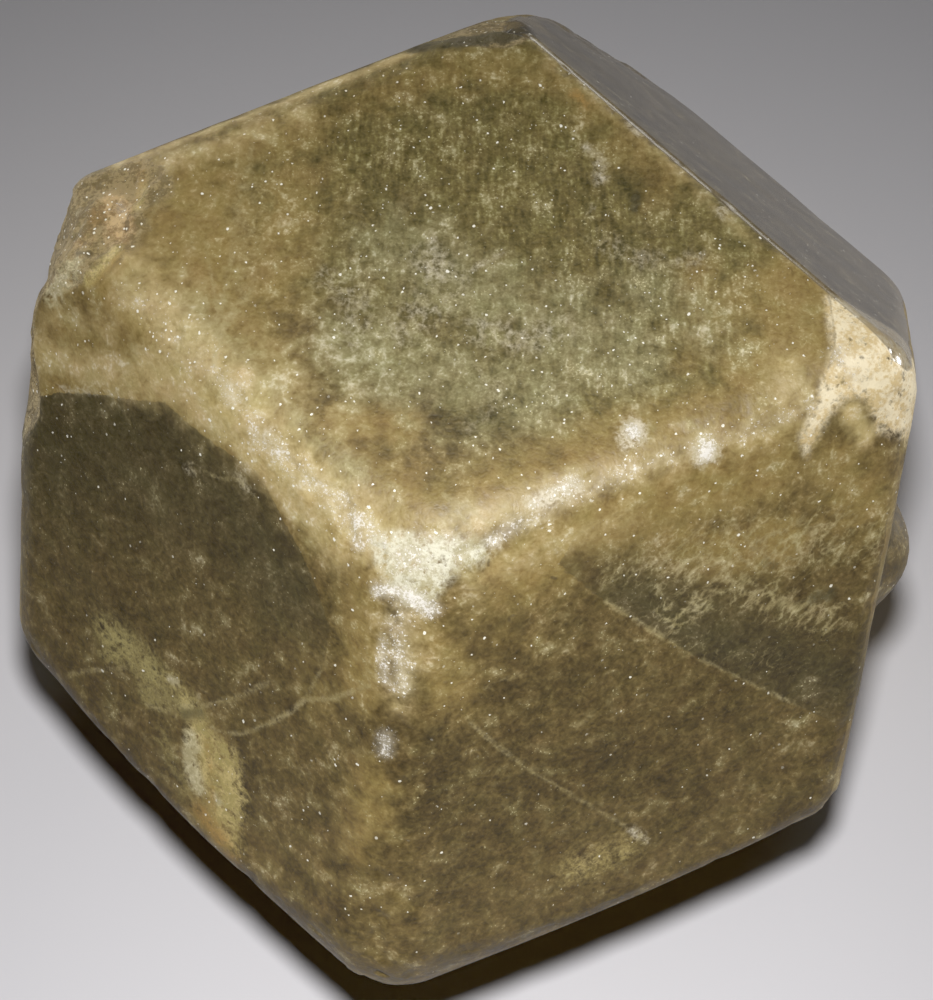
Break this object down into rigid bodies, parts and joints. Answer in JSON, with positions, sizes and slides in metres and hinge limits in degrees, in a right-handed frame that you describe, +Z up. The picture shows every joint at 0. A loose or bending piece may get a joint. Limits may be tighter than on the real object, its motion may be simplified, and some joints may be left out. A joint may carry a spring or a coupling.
{
  "type": "garnet crystal specimen",
  "caption": "Water-worn olive to honey-brown garnet crystal, a rhombic dodecahedron with rounded edges and a broken corner, lying on a face.",
  "frame": {"origin": "point of the resting face straight below the crystal's centre", "axes": "+Z up, out of the top face; +Y along the crystal's longest (four-fold) axis, away from the foremost corner; +X to the right"},
  "size_m": [0.0597, 0.0747, 0.0561],
  "materials": {
    "garnet": "worn, slightly glossy, translucent at the edges"
  },
  "bodies": {
    "root": {"garnet_crystal": "garnet"}
  },
  "joints": []
}
